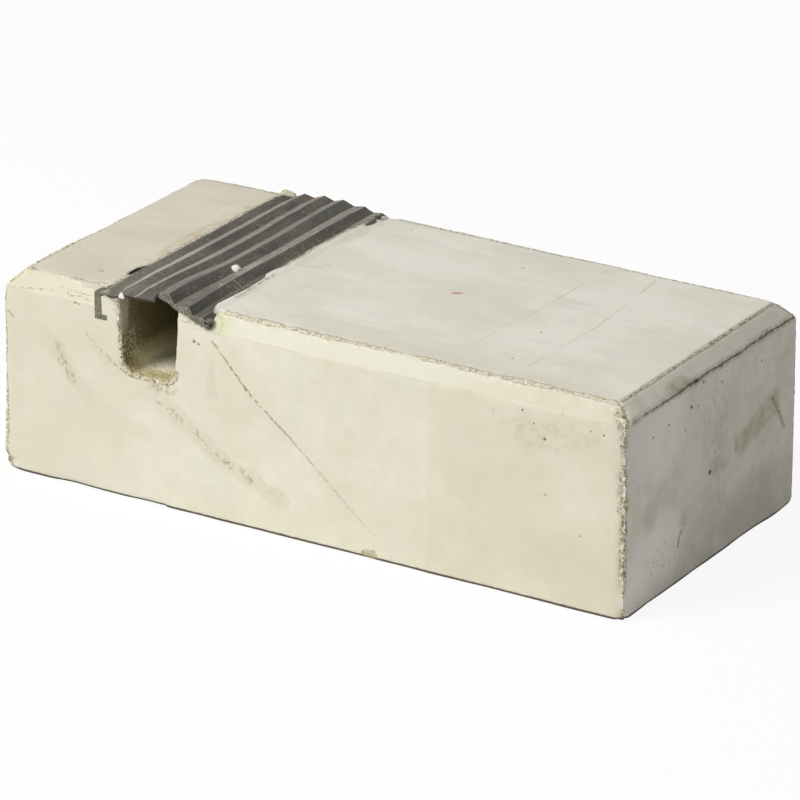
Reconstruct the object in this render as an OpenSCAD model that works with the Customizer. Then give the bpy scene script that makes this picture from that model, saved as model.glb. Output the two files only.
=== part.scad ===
// Precast concrete block with a cable trough and its ribbed cover strip.
//
// The block stands on z = 0 and its length runs along X. The trough crosses
// the block along Y near the left end. A crowned, ribbed strip bridges the
// trough, and a hooked leg under each edge of the strip is cast into the
// concrete beside it. The origin is the middle of the whole outline, at the
// base. Sizes are in millimetres.

/* [Block] */
// Length of the block
block_l = 331; // [280:1:400]
// Width of the block, which is also the length of the trough
block_w = 160; // [130:1:200]
// Height of the flat top above the base
block_h = 100; // [80:1:130]
// Run and drop of the chamfer round the four top edges
chamfer = 8; // [3:0.5:12]

/* [Trough] */
// From the block's left end to the middle of the trough
trough_from_end = 81; // [66:1:110]
// Width across the rounded bottom corners
trough_w = 29.6; // [22:0.2:36]
// Depth of the floor below the flat top
trough_depth = 38.2; // [28:0.2:50]
// Radius of the two bottom corners
trough_r = 6; // [2:0.5:9]
// Lean of each wall, in degrees, wider towards the top
trough_draft = 3; // [0:0.5:6]

/* [Cover strip] */
// Number of ribs across the strip
rib_count = 6; // [5:1:7]
// Distance from one rib to the next
rib_pitch = 11.2; // [9:0.1:13.5]
// Height of a rib above the valleys beside it
rib_h = 1.8; // [0.8:0.1:3]
// Thickness of the strip under its valleys
web_t = 1.5; // [1:0.1:3]
// Rise of the middle of the strip above its edges
crown = 5; // [1:0.5:7]
// Depth of the strip's lower edges below the flat top
edge_sink = 3; // [1.6:0.1:5]
// How far the middle of the strip lies right of the middle of the trough
cover_offset = 4.6; // [0:0.2:7]
// How far the strip stands out past the front face
front_overhang = 4; // [1:0.5:8]
// How far the strip stops short of the back face
back_setback = 7.5; // [4:0.5:20]

/* [Cast-in legs] */
// Thickness of a leg
leg_t = 2.8; // [2:0.1:4]
// Depth of a leg below the strip's lower edge
leg_drop = 11; // [7:0.5:15]
// Length of the foot that turns in under the strip, from the leg's outer face
foot_l = 6; // [4:0.5:8]
// Thickness of the foot
foot_t = 2.3; // [1.5:0.1:3.5]
// How far the right leg stops behind the front face
right_leg_setback = 10; // [4:0.5:20]

/* [Hidden] */

// Straight stretches that make up each rounded corner of the trough
corner_steps = 10;
// How far a cutter reaches past the face that it cuts
past = 5;

x_left = -block_l / 2;
y_front = (front_overhang - block_w) / 2;
y_back = y_front + block_w;

trough_x = x_left + trough_from_end;
floor_z = block_h - trough_depth;

cover_x = trough_x + cover_offset;
cover_w = rib_count * rib_pitch;
cover_back = y_back - back_setback;
edge_z = block_h - edge_sink;
foot_z = edge_z - leg_drop;

// Height of the strip's underside at x across it, with x = 0 in the middle.
function under_z(x) = edge_z + crown * (1 - pow(2 * x / cover_w, 2));

// Places across the strip: the edges, then every rib and every valley.
half_steps = 2 * rib_count;
function step_x(i) = -cover_w / 2 + i * rib_pitch / 2;

// Extrudes a flat shape, drawn in X and Z, along Y from y0 to y1.
module along_y(y0, y1)
    translate([0, y1, 0])
        rotate([90, 0, 0])
            linear_extrude(height = y1 - y0)
                children();

// Outline of a bar with its two top corners cut off at 45 degrees.
module chamfered_outline(width)
    polygon([
        [-width / 2, 0], [width / 2, 0],
        [width / 2, block_h - chamfer], [width / 2 - chamfer, block_h],
        [-width / 2 + chamfer, block_h], [-width / 2, block_h - chamfer]
    ]);

// The block before anything is cut: two chamfered bars that cross, so that
// the chamfers meet in mitres at the corners.
module plain_block()
    intersection() {
        along_y(y_front, y_back)
            chamfered_outline(block_l);
        translate([0, (y_front + y_back) / 2, 0])
            rotate([90, 0, 90])
                linear_extrude(height = block_l, center = true)
                    chamfered_outline(block_w);
    }

// Concrete that fills the space under the strip up to its underside, also
// where the chamfer would be.
module strip_bed()
    along_y(y_front, cover_back)
        translate([cover_x, 0])
            polygon(concat(
                [[cover_w / 2, foot_z], [-cover_w / 2, foot_z]],
                [for (i = [0 : half_steps]) [step_x(i), under_z(step_x(i))]]
            ));

// Points of a trough corner, from the floor up to the wall's tangent point.
// side is 1 for the right corner and -1 for the left one.
function corner_points(side) =
    let (middle_x = trough_w / 2 - trough_r, sweep = 90 - trough_draft)
    [for (k = [0 : corner_steps])
        let (turn = sweep * k / corner_steps)
        [side * (middle_x + trough_r * sin(turn)), floor_z + trough_r * (1 - cos(turn))]];

// Section of the trough: leaning walls on a flat floor with round corners.
module trough_section() {
    right = corner_points(1);
    left = corner_points(-1);
    wall_foot = right[corner_steps];
    top_z = block_h + crown + past;
    top_x = wall_foot.x + (top_z - wall_foot.y) * tan(trough_draft);
    polygon(concat(
        right,
        [[top_x, top_z], [-top_x, top_z]],
        [for (k = [corner_steps : -1 : 0]) left[k]]
    ));
}

module trough_cut()
    translate([trough_x, 0, 0])
        along_y(y_front - past, y_back + past)
            trough_section();

// Crowned web with a zigzag top: valleys at the even places, ribs between.
module strip_section()
    polygon(concat(
        [for (i = [0 : half_steps])
            [step_x(i), under_z(step_x(i)) + web_t + rib_h * (i % 2)]],
        [for (i = [half_steps : -1 : 0]) [step_x(i), under_z(step_x(i))]]
    ));

// Leg and foot under the left edge of the strip, with its outer face at x = 0.
module leg_section() {
    leg_top = under_z(-cover_w / 2) + web_t;
    translate([0, foot_z])
        square([leg_t, leg_top - foot_z]);
    translate([0, foot_z])
        square([foot_l, foot_t]);
}

module strip_solid()
    translate([cover_x, 0, 0])
        union() {
            along_y(y_front - front_overhang, cover_back)
                strip_section();
            along_y(y_front, cover_back)
                translate([-cover_w / 2, 0])
                    leg_section();
            along_y(y_front + right_leg_setback, cover_back)
                translate([cover_w / 2, 0])
                    mirror([1, 0])
                        leg_section();
        }

// The block is cast round the strip's legs and edges, so they cut their own
// place in it.
module concrete_block()
    color([0.88, 0.85, 0.77])
        difference() {
            union() {
                plain_block();
                strip_bed();
            }
            trough_cut();
            strip_solid();
        }

module cover_strip()
    color([0.31, 0.31, 0.28])
        strip_solid();

concrete_block();
cover_strip();
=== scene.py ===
# %% [markdown]
# # A concrete block with a covered cable trough
# The object is two pieces: a precast concrete block with a small trough across it, and a ribbed rubber
# strip that bridges the trough. The construction model gives both pieces their exact place and size.
# This lesson gives them their surfaces: broken sandy edges, pits, mortar lips and a bent, dusty strip.

import math
from itertools import product

import bmesh
import bpy
import numpy as np
from mathutils import Matrix, Vector


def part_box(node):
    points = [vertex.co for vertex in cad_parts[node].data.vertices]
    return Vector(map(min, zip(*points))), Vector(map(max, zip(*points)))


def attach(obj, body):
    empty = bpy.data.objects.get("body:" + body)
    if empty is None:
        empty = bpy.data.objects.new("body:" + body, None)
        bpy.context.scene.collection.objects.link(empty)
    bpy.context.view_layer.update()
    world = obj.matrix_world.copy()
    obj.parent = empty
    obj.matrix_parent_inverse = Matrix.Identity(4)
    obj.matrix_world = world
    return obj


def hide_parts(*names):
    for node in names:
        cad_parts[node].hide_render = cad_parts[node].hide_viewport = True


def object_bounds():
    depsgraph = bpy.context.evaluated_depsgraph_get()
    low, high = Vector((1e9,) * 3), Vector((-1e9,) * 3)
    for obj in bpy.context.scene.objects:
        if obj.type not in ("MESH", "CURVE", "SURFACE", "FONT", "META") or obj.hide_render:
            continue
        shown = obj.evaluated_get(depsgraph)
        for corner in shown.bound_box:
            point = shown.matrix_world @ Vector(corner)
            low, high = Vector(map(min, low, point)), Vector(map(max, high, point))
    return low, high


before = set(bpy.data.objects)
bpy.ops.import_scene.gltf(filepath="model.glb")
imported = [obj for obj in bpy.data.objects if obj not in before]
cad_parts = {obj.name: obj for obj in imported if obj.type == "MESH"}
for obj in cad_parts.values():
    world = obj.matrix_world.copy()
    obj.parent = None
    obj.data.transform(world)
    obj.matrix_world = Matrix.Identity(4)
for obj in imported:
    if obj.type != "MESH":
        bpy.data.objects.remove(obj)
cad_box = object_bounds()
print("construction model:", sorted(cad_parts))

# %% [markdown]
# Sizes on this object are easiest to think of in millimetres from one corner. So every place below is
# written as millimetres right of the block's left end, behind its front face and above its base.
# One origin turns them into the metres that Blender uses.

# %% Millimetres from the block's front left corner
MM = 0.001
block_low, block_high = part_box("concrete_block")
strip_low, strip_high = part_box("cover_strip")
CORNER = np.array(block_low)
BLOCK_L, BLOCK_W = ((block_high - block_low) / MM).to_2d()
BLOCK_H = 100.0
CHAMFER = 8.0
STRIP_LEFT, STRIP_RIGHT = [(side - block_low.x) / MM for side in (strip_low.x, strip_high.x)]
STRIP_BACK = (strip_high.y - block_low.y) / MM
OVERHANG = (block_low.y - strip_low.y) / MM
STRIP_MIDDLE = (STRIP_LEFT + STRIP_RIGHT) / 2
RIB_PITCH = (STRIP_RIGHT - STRIP_LEFT) / 6
TEAR = STRIP_MIDDLE
TROUGH_MIDDLE = 81.0
TROUGH_FLOOR = 61.8
TROUGH_FLOOR_HALF = 14.8
TROUGH_CORNER = 6.0
TROUGH_DRAFT = math.radians(3)
print(f"block {BLOCK_L:.1f} x {BLOCK_W:.1f} mm, strip from {STRIP_LEFT:.1f} to {STRIP_RIGHT:.1f} mm")


def metres(x, y, z):
    """The place in Blender of a point given in millimetres from the corner."""
    return Vector(CORNER) + Vector((x, y, z)) * MM


# %% [markdown]
# Hardly any surface here is plain, and its bumps come from smooth random numbers: one number is drawn
# for each point of a coarse lattice, and the places between blend the eight numbers around them. A fixed
# seed draws the same numbers on each run.

# %% Smooth random numbers in space
LATTICE = 64
lattice_numbers = np.random.default_rng(11).uniform(-1, 1, (LATTICE, LATTICE, LATTICE))


def lumps(points, size, shift=0.0):
    """Smooth numbers from -1 to 1 at points, with bumps about size millimetres apart."""
    cell = np.asarray(points) / size + shift
    base = np.floor(cell).astype(int)
    part = cell - base
    part = part * part * (3 - 2 * part)
    total = np.zeros(len(cell))
    for corner in product((0, 1), repeat=3):
        corner = np.array(corner)
        i, j, k = ((base + corner) % LATTICE).T
        total += np.prod(np.where(corner, part, 1 - part), axis=1) * lattice_numbers[i, j, k]
    return total


def ease(value, start, end):
    """0 before start and 1 past end, with a smooth rise between them."""
    part = np.clip((value - start) / (end - start), 0, 1)
    return part * part * (3 - 2 * part)


def hump(value, middle, half):
    """1 at middle, and 0 once half away from it."""
    return 1 - ease(np.abs(value - middle), 0, half)


# %% Helpers that read and move the points of a mesh
def read_points(piece):
    """The piece's points, in millimetres from the corner."""
    flat = np.empty(len(piece.data.vertices) * 3)
    piece.data.vertices.foreach_get("co", flat)
    return (flat.reshape(-1, 3) - CORNER) / MM


def read_normals(piece):
    """The way that the surface faces at each of the piece's points."""
    flat = np.empty(len(piece.data.vertices) * 3)
    piece.data.vertex_normals.foreach_get("vector", flat)
    return flat.reshape(-1, 3)


def write_points(piece, points):
    """Moves the piece's points to these places, in millimetres from the corner."""
    piece.data.vertices.foreach_set("co", (points * MM + CORNER).ravel())
    piece.data.update()


def write_mark(piece, name, amounts):
    """Stores one number for each point, which the finish reads by this name."""
    mark = piece.data.attributes.new(name, "FLOAT", "POINT")
    mark.data.foreach_set("value", np.clip(amounts, 0, 1).astype(np.float32))


def choose(*pieces):
    """Selects these pieces alone, and makes the last one active."""
    bpy.ops.object.select_all(action="DESELECT")
    for piece in pieces:
        piece.select_set(True)
    bpy.context.view_layer.objects.active = pieces[-1]


def cad_copy(node, name):
    """A copy of a construction node with its own mesh, its loose triangles merged."""
    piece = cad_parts[node].copy()
    piece.data = piece.data.copy()
    piece.name = name
    piece.parent = None
    for key in list(piece.keys()):
        del piece[key]
    bpy.context.scene.collection.objects.link(piece)
    choose(piece)
    bpy.ops.object.mode_set(mode="EDIT")
    bpy.ops.mesh.select_all(action="SELECT")
    bpy.ops.mesh.remove_doubles(threshold=0.00001)
    bpy.ops.object.mode_set(mode="OBJECT")
    piece.data.materials.clear()
    return piece


def apply_modifier(piece, kind, **settings):
    """Adds a modifier of this kind to the piece with these settings, and applies it."""
    choose(piece)
    modifier = piece.modifiers.new(kind.title(), kind)
    for setting, value in settings.items():
        setattr(modifier, setting, value)
    bpy.ops.object.modifier_apply(modifier=modifier.name)


def skin(piece, size):
    """Wraps the piece in one even skin of small squares, so that it can be worked like clay."""
    apply_modifier(piece, "REMESH", mode="VOXEL", voxel_size=size * MM, use_smooth_shade=True)


def thin_out(piece, triangles):
    """Drops the points that flat places don't need, until about this many triangles are left."""
    piece.data.calc_loop_triangles()
    count = len(piece.data.loop_triangles)
    if count > triangles:
        apply_modifier(piece, "DECIMATE", ratio=triangles / count)
    left = sum(len(face.vertices) - 2 for face in piece.data.polygons)
    print(piece.name, count, "triangles thinned to", left)


def distance_to_line(points, start, end):
    """How far each point lies from the straight line between two points."""
    start, end = np.array(start, float), np.array(end, float)
    along = np.clip((points - start) @ (end - start) / np.dot(end - start, end - start), 0, 1)
    return np.linalg.norm(points - start - along[:, None] * (end - start), axis=1)


# %% [markdown]
# ## How the strip has bent
# The strip is cast straight, but it has given way in use: it sags a little in the middle, and at the
# front its right half is pressed down on the trough's shoulder, which has opened up the rib beside the
# middle. Concrete and strip touch, so both follow one bend, written once as a shift of any point.

# %% The strip's section and how far it is pressed down
WEB = 1.5
RIB_HEIGHT = 1.8
ARCH_FOOT = 97
ARCH_RISE = 5


def underside(x):
    """Height of the strip's smooth arched underside before it bends."""
    return ARCH_FOOT + ARCH_RISE * (1 - ((x - STRIP_MIDDLE) / (3 * RIB_PITCH)) ** 2)


def press_depth(x):
    """How far the strip's right half is pressed down at its very front."""
    return 3.15 * ease(x, 91.2, 102.8) + 0.5 * ease(x, 103, 109)


print("pressed down at the right end of the strip's front:", press_depth(STRIP_RIGHT), "mm")


# %% The bend that strip and concrete share
def strip_bend(points):
    """How far a point on or just under the strip has moved, in millimetres."""
    x, y, z = points.T
    shift = np.zeros_like(points)
    pressed = np.clip(1 - y / 60, 0, 1.1) ** 2
    over_trough = hump(x, STRIP_MIDDLE, 36)
    shift[:, 2] -= pressed * press_depth(x)
    shift[:, 2] += 1.1 * hump(x, 86.5, 6) * (x > TEAR) * (1 - ease(y, -1, 10))
    shift[:, 2] -= 0.7 * ease(y, 15, 60) * (1 - ease(y, 126, 150)) * over_trough
    shift[:, 2] -= 0.5 * ease(y, 10, 40) * (1 - ease(y, 95, 120)) * over_trough
    shift[:, 2] -= 0.35 * hump(x, 77, 9) * ease(y, 5, 25) * (1 - ease(y, 90, 120))
    shift[:, 2] -= 0.8 * ease(y, 136, 153) * (1 - ease(x, 104, 110))
    shift[:, 0] -= 2.2 * ease(y, 1, 13) * (1 - ease(y, 28, 62)) * hump(x, 84, 12.5)
    shift[:, 0] -= 1.7 * pressed * hump(x, 97, 5)
    shift[:, 0] -= 4.5 * pressed * ease(x, 100, 114)
    rib = np.clip(z - underside(x) - WEB, 0, RIB_HEIGHT) / RIB_HEIGHT
    lean = 0.5 - 0.5 * hump(x, 91.2, 5) + 0.5 * hump(x, 80, 5) * (1 - ease(y, 25, 60))
    lean -= 0.4 * ease(y, 95, 125) * (x < 95)
    lean -= 1.6 * hump(x, 113.6, 6) * ease(y, 128, 150)
    shift[:, 0] += rib * lean * ease(y, 2, 10)
    return shift


# %% [markdown]
# ## The concrete block
# The block is the construction solid, weathered. Its skin is remade as small even squares, and mortar that
# was smeared along both edges of the strip is added first, so that it becomes one body with the block.
# Each smear is a bar that is tapered in edit mode.

# %% Tools for edit mode
def move_selected(piece, wanted, by):
    """In edit mode: selects the points that wanted accepts, in millimetres, and moves them."""
    mesh = bmesh.from_edit_mesh(piece.data)
    for vertex in mesh.verts:
        vertex.select_set(bool(wanted((np.array(vertex.co) - CORNER) / MM)))
    mesh.select_flush_mode()
    bmesh.update_edit_mesh(piece.data)
    bpy.ops.transform.translate(value=Vector(by) * MM)


def cut_across(x=None, y=None):
    """In edit mode: cuts all faces on a plane at x or at y."""
    bpy.ops.mesh.select_all(action="SELECT")
    direction = (1, 0, 0) if y is None else (0, 1, 0)
    bpy.ops.mesh.bisect(plane_co=metres(x or 0, y or 0, 0), plane_no=direction)


# %% Bars and lumps of mortar
def add_bar(name, low, high):
    """A plain bar from one corner to the other, in millimetres."""
    bpy.ops.object.select_all(action="DESELECT")
    low, high = np.array(low, float), np.array(high, float)
    bpy.ops.mesh.primitive_cube_add(size=1, location=metres(*(low + high) / 2), scale=(high - low) * MM)
    bar = bpy.context.object
    bar.name = name
    bpy.ops.object.transform_apply(location=True, rotation=True, scale=True)
    return bar


def mortar_bar(name, tops, edges, near):
    """A bar along the strip. Its top follows {x: height above the block}. The side next to the strip, which
    is all of it that near accepts, follows {y: how far it lies to the right of its place}."""
    places = sorted(tops)
    turns = sorted(edges)
    bar = add_bar(name, (places[0], turns[0], BLOCK_H - 1.5), (places[-1], turns[-1], BLOCK_H))
    bpy.ops.object.mode_set(mode="EDIT")
    for place in places[1:-1]:
        cut_across(x=place)
    for turn in turns[1:-1]:
        cut_across(y=turn)
    for place in places:
        move_selected(bar, lambda p: abs(p[0] - place) < 0.01 and p[2] > BLOCK_H - 0.1, (0, 0, tops[place]))
    for turn in turns:
        move_selected(bar, lambda p: abs(p[1] - turn) < 0.01 and near(p[0]), (edges[turn], 0, 0))
    bpy.ops.object.mode_set(mode="OBJECT")
    return bar


def mortar_lump(name, middle, radii):
    """A rounded lump of mortar."""
    bpy.ops.object.select_all(action="DESELECT")
    bpy.ops.mesh.primitive_ico_sphere_add(subdivisions=4, radius=1, location=metres(*middle))
    lump = bpy.context.object
    lump.name = name
    lump.scale = np.array(radii) * MM
    bpy.ops.object.transform_apply(location=True, rotation=True, scale=True)
    return lump


# %% Mortar smeared along the strip
block = cad_copy("concrete_block", "weathered_block")
right_edges = {8.5: 1.6, 13: 0.4, 25: 1.0, 36: 1.4, 52: 0.5, 56: -1.5, 62: -1.4, 67: -0.1, 78: -1.2, 84: -0.5,
               99: -1.9, 108: -1.1, 125: -1.3, 133: 0.2, 144: 2.2, 146: 4.4, 148: 4.6, 151: 6.0}
left_edges = {5: -0.8, 12: 0.3, 22: -0.2, 25: -1.6, 35: -1.4, 38: 0.2, 60: -0.1, 90: 0.3, 120: -0.2,
              151.5: 0.4}
right_tops = {110: 1.0, 111.2: 1.5, 113.4: 1.2, 116: 0.6, 124: 0.3, 134: -0.1}
smears = [
    mortar_bar("right_smear", right_tops, right_edges, lambda x: x < 112),
    mortar_bar("left_smear", {40: -0.1, 50: 0.5, 56.4: 0.9}, left_edges, lambda x: x > 56),
    mortar_lump("back_lump", (58.6, 153.6, 99.4), (5.8, 3.6, 3.3)),
    add_bar("leg_plug", (51.8, 0, 85.6), (58.4, 5, 97)),
    mortar_lump("arris_nodule", (10.3, 8.6, 99.2), (2.2, 1.7, 1.6)),
]
choose(*smears, block)
bpy.ops.object.join()
VOXEL = 0.75
skin(block, VOXEL)
print("block skin:", len(block.data.polygons), "faces")

# %% [markdown]
# ## The block's wear
# The wear is a depth for every point, measured inwards from the clean surface. Arrises are worn and
# broken down to the sand, the trough's walls are raw, a crack runs under the right chamfer, and all
# faces are slightly uneven. The same numbers are kept as marks, so that the finish can colour the broken
# places and paint shade into the slots. Sculpting by hand could give such wear too, but a formula gives
# it at every point alike, and gives it again on each run.

# %% Where the block is worn
# An arris is given by its two ends, by how far the wear reaches from it and by how deep it goes.
L, W, H, C = BLOCK_L, BLOCK_W, BLOCK_H, CHAMFER
worn_arrises = [
    ((C, C, H), (52, C, H), 1.5, 0.6),
    ((119, C, H), (L - C, C, H), 1.7, 0.5),
    ((L, 0, 4), (L, 0, H - C), 2.5, 0.9),
    ((L - 0.8, 0, 52), (L - 0.8, 0, 88), 3.4, 0.8),
    ((L - 1.5, 0, 60), (L - 1.5, 0, 70), 3.0, 0.7),
    ((L, 0, H - C), (L - 5, 5, H - 3), 4.2, 1.5),
    ((53, 155, 99), (63, 155, 99), 4.0, 0.3),
    ((L - C, C, H), (L - C, W - C, H), 1.1, 0.35),
    ((L, W, 0), (L, W, H - C), 1.6, 0.25),
    ((L, W, H - C), (L - C, W - C, H), 1.6, 0.4),
    ((C, W - C + 2.6, H), (L - C, W - C + 1.4, H), 1.5, 0.3),
    ((C, C, H), (C, W - C, H), 1.5, 0.4),
    ((0, 0, 6), (0, 0, H - C), 1.9, 0.5),
    ((0, W, 0), (0, W, H - C), 2.4, 0.8),
    ((0, 0, H - C), (C, C, H), 1.8, 0.5),
    ((0, W, H - C), (C, W - C, H), 2.4, 0.7),
    ((0, 0, 0), (0, 0, 3), 4.5, 3.0),
    ((L, 0, 0), (L, 0, 1), 3.0, 1.5),
    ((101, 0, 96), (113, 0, 93), 2.4, 0.4),
]
base_arrises = [
    ((3, 0, 0), (88, 0, 0), 1.6, 0.8),
    ((88, 0, 0), (L, 0, 0), 1.2, 0.12),
    ((L, 0, 0), (L, W, 0), 1.6, 0.14),
    ((0, 0, 0), (0, W, 0), 2.0, 0.5),
    ((0, W, 0), (L, W, 0), 2.0, 0.5),
]
front_scratch = [(116, 88), (136, 66), (163, 45), (195, 17), (206, 10)]

# An air hole is given by its place and its radius. The finish paints only the first list dark, as painted
# shade in the holes.
air_holes = [
    (106, 0, 85.5, 0.85), (108.4, 0, 84.8, 0.65), (40.6, 0, 91, 0.8), (42.4, 0, 90.6, 0.65),
    (290.3, 0, 78, 0.8), (279, 0, 89.6, 0.5), (299, 0, 92, 0.5), (320, 0, 86.3, 0.6),
    (291, 0, 51.7, 0.5), (309, 0, 35.8, 0.6),
    (40.4, 23, H, 1.1), (252, 63, H, 0.7), (203.6, 130, H, 0.8), (257, 29, H, 0.7), (133.5, 145.7, H, 0.6),
    (L, 60, 81.5, 0.9), (L, 70.8, 89.8, 0.7), (L, 78, 43.8, 1.3), (L, 75, 42, 0.7), (L, 141.5, 24.6, 0.7),
    (L, 39, 80.4, 0.6), (L, 126, 81.5, 0.6), (L, 24.6, 79.3, 0.6),
    (L, 88, 84, 0.6), (L, 66, 80, 0.5), (L, 7, 45, 0.6),
]
hidden_holes = [
    (120, W, 66, 1.1), (124, W, 64, 0.9), (236, W, 78, 1.1), (262, W, 38, 1.0),
    (31, W, 52, 1.0), (199, W, 21, 0.9),
    (0, 44, 71, 1.1), (0, 48, 68, 0.9), (0, 101, 36, 1.1), (0, 128, 80, 1.0), (0, 74, 18, 0.9),
]
print(len(worn_arrises), "worn arrises and", len(air_holes + hidden_holes), "air holes")


# %% The trough's outline, the crack and the smears' edges
def trough_distance(x, z):
    """How far a point lies outside the trough's outline; below 0 it is in the open trough."""
    half = TROUGH_FLOOR_HALF + (z - TROUGH_FLOOR) * math.tan(TROUGH_DRAFT)
    across = np.abs(x - TROUGH_MIDDLE) - (half - TROUGH_CORNER)
    down = TROUGH_FLOOR + TROUGH_CORNER - z
    outside = np.hypot(np.maximum(across, 0), np.maximum(down, 0))
    return outside + np.minimum(np.maximum(across, down), 0) - TROUGH_CORNER


def crack_wander(y, sine):
    """How far the crack under the right chamfer strays up or down at y. sine suits the kind of y."""
    return sine(y / 9.3) * 0.14 + sine(y / 3.1 + 2.0) * 0.1 + sine(y / 1.3) * 0.05


def between(values, place):
    """What a {place: value} list gives at a place, with straight lines between its places."""
    return np.interp(place, sorted(values), [values[turn] for turn in sorted(values)])


print("the trough is", round(BLOCK_H - TROUGH_FLOOR, 1), "mm deep")


# %% Wear along the arrises
def wear_arrises(points, depth, coarse, fine):
    """Deepens the wear along the arrises. Returns how far the sandy inside shows there, from 0 to 1."""
    sandy = np.zeros(len(points))
    patchy = lumps(points, 14, 2.3)
    uneven = np.clip(1 + 0.7 * patchy, 0.45, 1.5)
    for start, end, reach, deep in worn_arrises:
        near = np.exp(-(distance_to_line(points, start, end) / reach) ** 2) * uneven
        depth += near * deep * (1 + 0.6 * coarse + 0.45 * fine)
        sandy = np.maximum(sandy, near)
    for start, end, reach, deep in base_arrises:
        near = np.exp(-(distance_to_line(points, start, end) / reach) ** 2) * uneven
        depth += near * deep * (1 + 0.9 * patchy + 0.12 * coarse)
    return sandy


# %% Wear of the trough
def wear_trough(points, depth, coarse, fine):
    """Breaks the edge of the trough's mouth, and makes its walls rough and its lower corners full.
    Returns how far the sandy inside shows there."""
    x, y, z = points.T
    outline = trough_distance(x, z)
    mouth = np.exp(-(outline / 1.4) ** 2) * (1 - ease(y, 0.4, 2)) * (z < 97)
    mouth *= (x < TROUGH_MIDDLE) | (z < 69)
    walls = (np.abs(outline) < 1.5) * ease(y, 0.4, 1.5) * (z < 98)
    corner = np.exp(-((x - 67) ** 2 + (z - 65) ** 2) / 9)
    corner += 0.9 * np.exp(-((x - 94.5) ** 2 + (z - 66) ** 2) / 14)
    lower_right = ease(x, 90, 94) * (1 - ease(z, 70, 92))
    raw = 0.25 + 0.75 * (1 - ease(z, 74, 84)) * (1 - ease(y, 12, 22))
    depth += mouth * (0.35 + 0.5 * coarse + 0.45 * fine)
    depth -= walls * (0.5 + 1.1 * corner + 0.5 * lower_right + raw * (0.38 * coarse + 0.3 * fine))
    return np.maximum(mouth, walls)


# %% Wear beside the strip
def wear_beside_strip(points, depth, coarse, fine):
    """Roughens the mortar's edges along the strip, and sinks the slots and the hollow round the left leg.
    Returns how far the sandy inside shows there, and how much painted shade the slots get, from 0 to 1."""
    x, y, z = points.T
    left_boundary = hump(x, 55.6 + between(left_edges, y), 2.4) * ease(y, 7, 12) * 0.62
    right_boundary = hump(x, 110.8 + between(right_edges, y), 2.6) * ease(y, 62, 72) * 0.62
    front_ridge = hump(x, 112.6 + between(right_edges, y), 2.6) * (1 - ease(y, 54, 64))
    front_ridge = front_ridge * ease(y, 14, 24) * 0.6
    along_strip = (left_boundary + right_boundary) * (z > 99) * (y < 150)
    depth += (along_strip + front_ridge * (z > 99)) * (0.3 * coarse + 0.3 * fine)
    depth += 0.3 * hump(x, 55, 5.5) * hump(z, 91, 8) * (y < 0.6)
    slot = hump(x - (y - 29.8) * 0.05, 54.4, 1.3) * hump(y, 29.8, 8.0) * (z > 97)
    slot += hump(x, 114.0, 1.4) * hump(y, 147, 1.9) * (z > 97)
    depth += slot * 2.0
    return along_strip, ease(slot, 0.1, 0.4)


# %% The crack, the air holes and the long scratch
def wear_small(points, depth):
    """Sinks the crack under the right chamfer, the air holes and the scratch across the front."""
    x, y, z = points.T
    off_crack = z - (H - C) - 0.3 - crack_wander(y, np.sin)
    depth += 0.3 * hump(off_crack, 0, 1.0) * (x > L - 2.5) * ease(y, 40, 60) * (1 - ease(y, 150, 156))
    for *place, radius in air_holes + hidden_holes:
        far = np.linalg.norm(points - place, axis=1)
        depth += 0.9 * radius * (far < 4) * np.exp(-(far / radius) ** 2)
    scratch_places = [(px, 0, pz) for px, pz in front_scratch]
    for start, end in zip(scratch_places, scratch_places[1:]):
        depth += 0.12 * np.exp(-(distance_to_line(points, start, end) / 0.8) ** 2)


# %% All the wear together
def wear(points):
    """Depth of wear in millimetres, how far the sandy inside shows, and how much painted shade the slots get,
    from 0 to 1.
    """
    depth = 0.18 + 0.16 * lumps(points, 45) + 0.05 * lumps(points, 11, 3.1)
    depth *= 0.3 + 0.7 * ease(points[:, 2], 0, 8)
    grit = lumps(points, 2.4, 5.2), lumps(points, 1.3, 9.7)
    sandy = np.maximum(wear_arrises(points, depth, *grit), wear_trough(points, depth, *grit))
    along_strip, gap_shade = wear_beside_strip(points, depth, *grit)
    wear_small(points, depth)
    return depth, np.maximum(sandy, along_strip), gap_shade


# %% Room for the strip's bent front corner
def shoulder_top(x, y):
    """Height that the concrete may reach under and beside the bent front corner of the strip."""
    pressed = np.clip(1 - y / 60, 0, 1) ** 2
    straight_x = x + 4.5 * pressed * ease(x, 100.5, 108.5)
    under_strip = underside(straight_x) - pressed * press_depth(straight_x)
    beside_strip = np.maximum(BLOCK_H - CHAMFER + y + 0.6, 0)
    at_corner = (y < 9) * (x < 122)
    smear_side = 109.8 + between(right_edges, y)
    covered = (y < 60) * (x < smear_side)
    top = np.where(x < np.where(y < 9, 114.5, smear_side), under_strip - 0.1 * (y > 9), beside_strip)
    return np.where((x > TROUGH_MIDDLE + 10) * (at_corner + covered) > 0, top, 200)


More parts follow.
